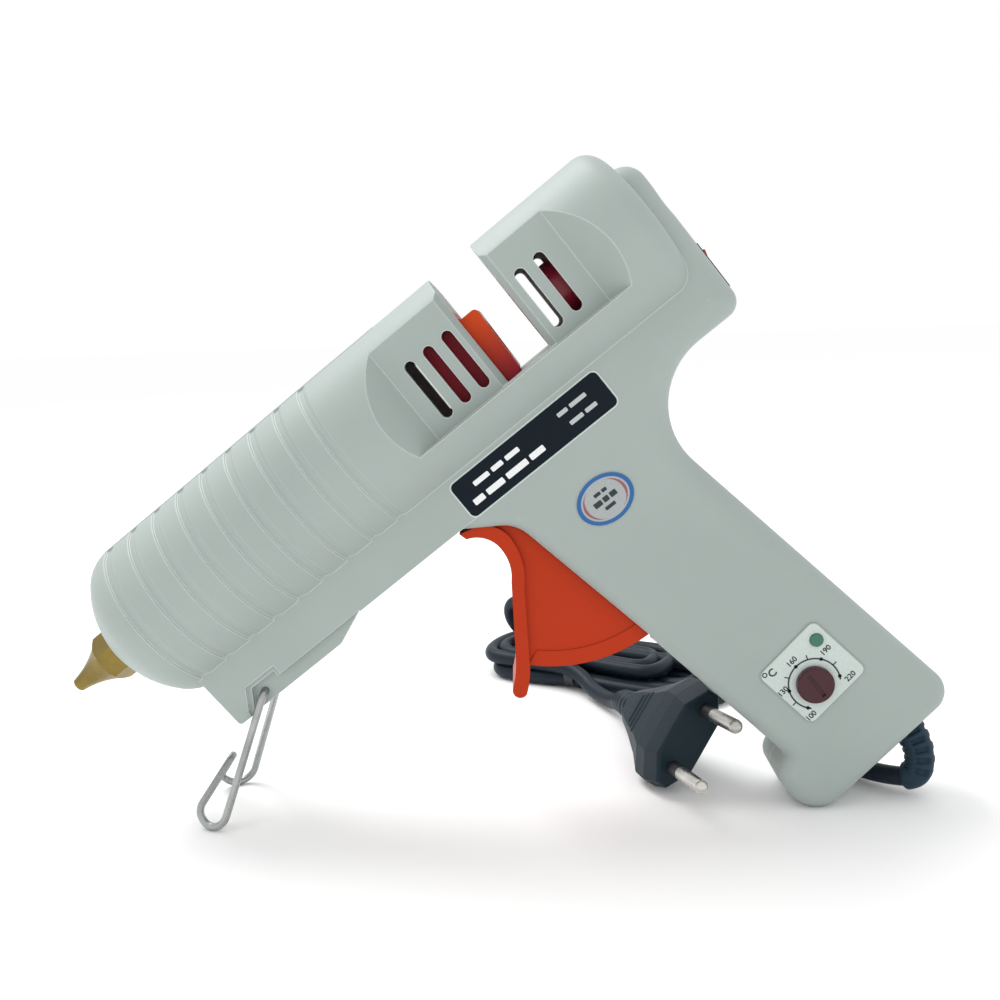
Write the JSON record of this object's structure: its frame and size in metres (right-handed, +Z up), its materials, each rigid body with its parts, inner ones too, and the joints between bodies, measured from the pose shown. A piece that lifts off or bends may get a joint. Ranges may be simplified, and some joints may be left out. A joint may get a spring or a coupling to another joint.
{
  "type": "hot-melt glue gun",
  "caption": "Pistol-shaped electric hot-melt glue gun standing nose-down on a fold-out wire stand, with trigger feed, temperature dial, rear switch and a tied two-pin mains cord.",
  "frame": {"origin": "on the table, at the centre of the standing gun's bounding box, measured without the cord, its boot, its hank and its plug", "axes": "+X from the nozzle end towards the handle, +Y from the control side to the far side, +Z up; the gun stands nose-down on its wire stand and the toe of its handle"},
  "size_m": [0.2426, 0.1576, 0.1765],
  "materials": {
    "housing": "fine matte texture, cool off-white",
    "orange": "satin orange",
    "brass": "dull turned brass",
    "silicone": "dark red silicone",
    "aluminium": "cast",
    "ceramic": "heat-proof board",
    "red_plastic": "dark red, slightly glossy",
    "steel": "plain wire and pins",
    "pcb": "green board",
    "black_plastic": "black",
    "label": "black foil",
    "sticker": "silver foil with a blue rim",
    "plate": "pale foil",
    "led_green": "translucent green",
    "cord": "black flexible",
    "tie": "black band",
    "pin_metal": "nickelled pins"
  },
  "bodies": {
    "gun_body": {"right_shell": "housing", "left_shell": "housing", "nozzle": "brass", "nozzle_seal": "silicone", "melt_chamber": "aluminium", "heater_element": "ceramic", "chamber_mount_front": "ceramic", "chamber_mount_rear": "ceramic", "inlet_sleeve": "silicone", "sleeve_clip": "steel", "rear_guide_tube": "red_plastic", "trigger_pin": "steel", "control_plate": "plate", "status_led": "led_green", "potentiometer": "black_plastic", "control_board": "pcb", "rating_label": "label", "oval_sticker": "sticker", "switch_housing": "black_plastic", "shell_screws": "steel", "strain_relief": "cord", "cord_to_gun": "cord", "cord_to_plug": "cord", "cord_hank": "cord", "hank_tie": "tie", "plug_body": "cord", "plug_pins": "pin_metal", "pin_sleeves": "black_plastic", "plug_relief": "cord"},
    "trigger_body": {"trigger": "orange", "link_pin": "steel", "return_spring": "steel"},
    "carriage_body": {"feed_carriage": "orange", "stick_grip": "steel"},
    "stand_body": {"wire_stand": "steel"},
    "knob_body": {"temperature_knob": "red_plastic"},
    "rocker_body": {"switch_rocker": "red_plastic"}
  },
  "joints": [
    {"name": "trigger_pull", "type": "hinge", "parent": "gun_body", "child": "trigger_body", "pos_m": [0.01549, 0, 0.08467], "axis": [0, -1, 0], "range_deg": [0, 25], "stiffness_Nm_per_rad": 0.35, "springref_deg": -14.32},
    {"name": "feed_slide", "type": "slide", "parent": "gun_body", "child": "carriage_body", "axis": [-0.7965, 0, -0.6046], "range_m": [0, 0.014]},
    {"name": "stand_fold", "type": "hinge", "parent": "gun_body", "child": "stand_body", "pos_m": [-0.06368, 0, 0.03814], "axis": [0, -1, 0], "range_deg": [0, 128]},
    {"name": "knob_turn", "type": "hinge", "parent": "gun_body", "child": "knob_body", "pos_m": [0.08429, -0.014, 0.03665], "axis": [0, 1, 0], "range_deg": [-130, 130]},
    {"name": "rocker_tilt", "type": "hinge", "parent": "gun_body", "child": "rocker_body", "pos_m": [0.05586, 0, 0.14495], "axis": [0, -1, 0], "range_deg": [0, 12]}
  ],
  "couplings": [
    {"joint": "feed_slide", "follows": "trigger_pull", "m_per_rad": 0.029763}
  ]
}
